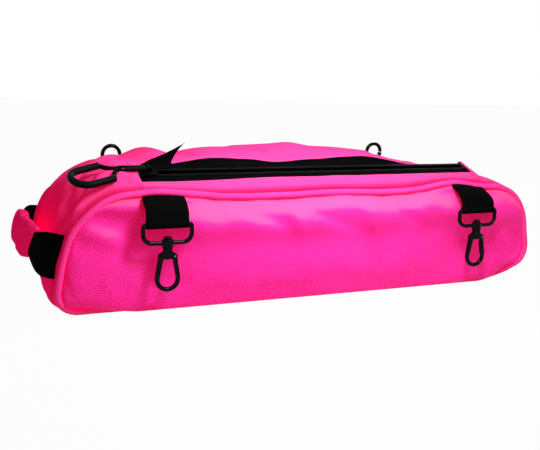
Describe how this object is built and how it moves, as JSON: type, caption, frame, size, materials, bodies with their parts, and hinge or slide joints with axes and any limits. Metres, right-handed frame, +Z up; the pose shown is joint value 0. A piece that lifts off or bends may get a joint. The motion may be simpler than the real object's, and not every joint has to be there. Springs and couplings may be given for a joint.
{
  "type": "clip-on shoe bag",
  "caption": "Soft zip-top shoe bag with piped loaf-shaped panels, an end grab handle, and swivel snap hooks on webbing tabs for clipping to a larger bag.",
  "frame": {"origin": "middle of the flat base, on the ground", "axes": "X along the bag, handle at -X; Y from the front panel to the back panel; Z up"},
  "size_m": [0.5369, 0.2224, 0.1454],
  "materials": {
    "pink_panel_fabric": "woven ballistic polyester, hot pink",
    "pink_gusset_fabric": "smooth satin polyester, hot pink",
    "pink_piping": "woven bias tape over a cord, hot pink",
    "black_webbing": "flat woven polyester webbing, black",
    "zip_tape": "woven zip tape, black",
    "zip_coil": "nylon coil, black",
    "pull_cord": "braided cord, black",
    "pull_rubber": "moulded soft rubber, black",
    "black_slider_metal": "black lacquered die casting",
    "black_nickel": "glossy black nickel plated die casting",
    "steel": "plain spring steel"
  },
  "bodies": {
    "bag": {"front_panel": "pink_panel_fabric", "back_panel": "pink_panel_fabric", "base_panel": "pink_gusset_fabric", "left_end_panel": "pink_gusset_fabric", "right_end_panel": "pink_gusset_fabric", "front_zip_strip": "pink_gusset_fabric", "rear_zip_strip": "pink_gusset_fabric", "front_piping": "pink_piping", "rear_piping": "pink_piping", "zip_tape_front": "zip_tape", "zip_tape_rear": "zip_tape", "zip_tape_flap": "zip_tape", "zip_coil_front": "zip_coil", "zip_coil_rear": "zip_coil", "zip_stop_left": "black_slider_metal", "zip_stop_right": "black_slider_metal", "handle_webbing": "black_webbing", "handle_grip": "pink_gusset_fabric", "tab_front_left": "black_webbing", "tab_front_right": "black_webbing", "tab_rear_left": "black_webbing", "tab_rear_right": "black_webbing"},
    "zip_slider": {"zip_slider": "black_slider_metal", "zip_pull_pin": "black_slider_metal"},
    "zip_pull": {"zip_pull_tab": "black_slider_metal"},
    "zip_pull_loop": {"zip_pull_cord": "pull_cord", "zip_pull_grip": "pull_rubber"},
    "ring_front_left": {"ring_front_left": "black_nickel"},
    "hook_front_left": {"hook_front_left": "black_nickel", "gate_pin_front_left": "steel", "gate_spring_front_left": "steel"},
    "gate_front_left": {"gate_front_left": "black_nickel"},
    "ring_front_right": {"ring_front_right": "black_nickel"},
    "hook_front_right": {"hook_front_right": "black_nickel", "gate_pin_front_right": "steel", "gate_spring_front_right": "steel"},
    "gate_front_right": {"gate_front_right": "black_nickel"},
    "ring_rear_left": {"ring_rear_left": "black_nickel"},
    "hook_rear_left": {"hook_rear_left": "black_nickel", "gate_pin_rear_left": "steel", "gate_spring_rear_left": "steel"},
    "gate_rear_left": {"gate_rear_left": "black_nickel"},
    "ring_rear_right": {"ring_rear_right": "black_nickel"},
    "hook_rear_right": {"hook_rear_right": "black_nickel", "gate_pin_rear_right": "steel", "gate_spring_rear_right": "steel"},
    "gate_rear_right": {"gate_rear_right": "black_nickel"}
  },
  "joints": [
    {"name": "zip_slide", "type": "slide", "parent": "bag", "child": "zip_slider", "axis": [1, 0, 0], "range_m": [0, 0.334]},
    {"name": "pull_flip", "type": "hinge", "parent": "zip_slider", "child": "zip_pull", "pos_m": [-0.1675, -0.06046, 0.12386], "axis": [0, 0.9208, 0.3899], "range_deg": [0, 120]},
    {"name": "pull_loop_swing", "type": "hinge", "parent": "zip_pull", "child": "zip_pull_loop", "pos_m": [-0.1945, -0.06046, 0.12386], "axis": [0, 0.9208, 0.3899], "range_deg": [0, 58]},
    {"name": "ring_swing_front_left", "type": "hinge", "parent": "bag", "child": "ring_front_left", "pos_m": [-0.164, -0.107, 0.08], "axis": [-1, 0, 0], "range_deg": [-2, 150]},
    {"name": "hook_swivel_front_left", "type": "hinge", "parent": "ring_front_left", "child": "hook_front_left", "pos_m": [-0.164, -0.107, 0.064], "axis": [0, 0, 1], "continuous": true},
    {"name": "gate_push_front_left", "type": "hinge", "parent": "hook_front_left", "child": "gate_front_left", "pos_m": [-0.15805, -0.107, 0.05235], "axis": [0, 1, 0], "range_deg": [0, 25], "stiffness_Nm_per_rad": 0.02, "springref_deg": -17.19},
    {"name": "ring_swing_front_right", "type": "hinge", "parent": "bag", "child": "ring_front_right", "pos_m": [0.164, -0.107, 0.08], "axis": [-1, 0, 0], "range_deg": [-2, 150]},
    {"name": "hook_swivel_front_right", "type": "hinge", "parent": "ring_front_right", "child": "hook_front_right", "pos_m": [0.164, -0.107, 0.064], "axis": [0, 0, 1], "continuous": true},
    {"name": "gate_push_front_right", "type": "hinge", "parent": "hook_front_right", "child": "gate_front_right", "pos_m": [0.16995, -0.107, 0.05235], "axis": [0, 1, 0], "range_deg": [0, 25], "stiffness_Nm_per_rad": 0.02, "springref_deg": -17.19},
    {"name": "ring_swing_rear_left", "type": "hinge", "parent": "bag", "child": "ring_rear_left", "pos_m": [-0.164, 0.107, 0.073], "axis": [-1, 0, 0], "range_deg": [0, 183]},
    {"name": "hook_swivel_rear_left", "type": "hinge", "parent": "ring_rear_left", "child": "hook_rear_left", "pos_m": [-0.164, 0.10561, 0.08894], "axis": [0, 0.0872, -0.9962], "continuous": true},
    {"name": "gate_push_rear_left", "type": "hinge", "parent": "hook_rear_left", "child": "gate_rear_left", "pos_m": [-0.15805, 0.10459, 0.10054], "axis": [0, -0.9962, -0.0872], "range_deg": [0, 25], "stiffness_Nm_per_rad": 0.02, "springref_deg": -17.19},
    {"name": "ring_swing_rear_right", "type": "hinge", "parent": "bag", "child": "ring_rear_right", "pos_m": [0.164, 0.107, 0.073], "axis": [-1, 0, 0], "range_deg": [0, 183]},
    {"name": "hook_swivel_rear_right", "type": "hinge", "parent": "ring_rear_right", "child": "hook_rear_right", "pos_m": [0.164, 0.10561, 0.08894], "axis": [0, 0.0872, -0.9962], "continuous": true},
    {"name": "gate_push_rear_right", "type": "hinge", "parent": "hook_rear_right", "child": "gate_rear_right", "pos_m": [0.16995, 0.10459, 0.10054], "axis": [0, -0.9962, -0.0872], "range_deg": [0, 25], "stiffness_Nm_per_rad": 0.02, "springref_deg": -17.19}
  ]
}
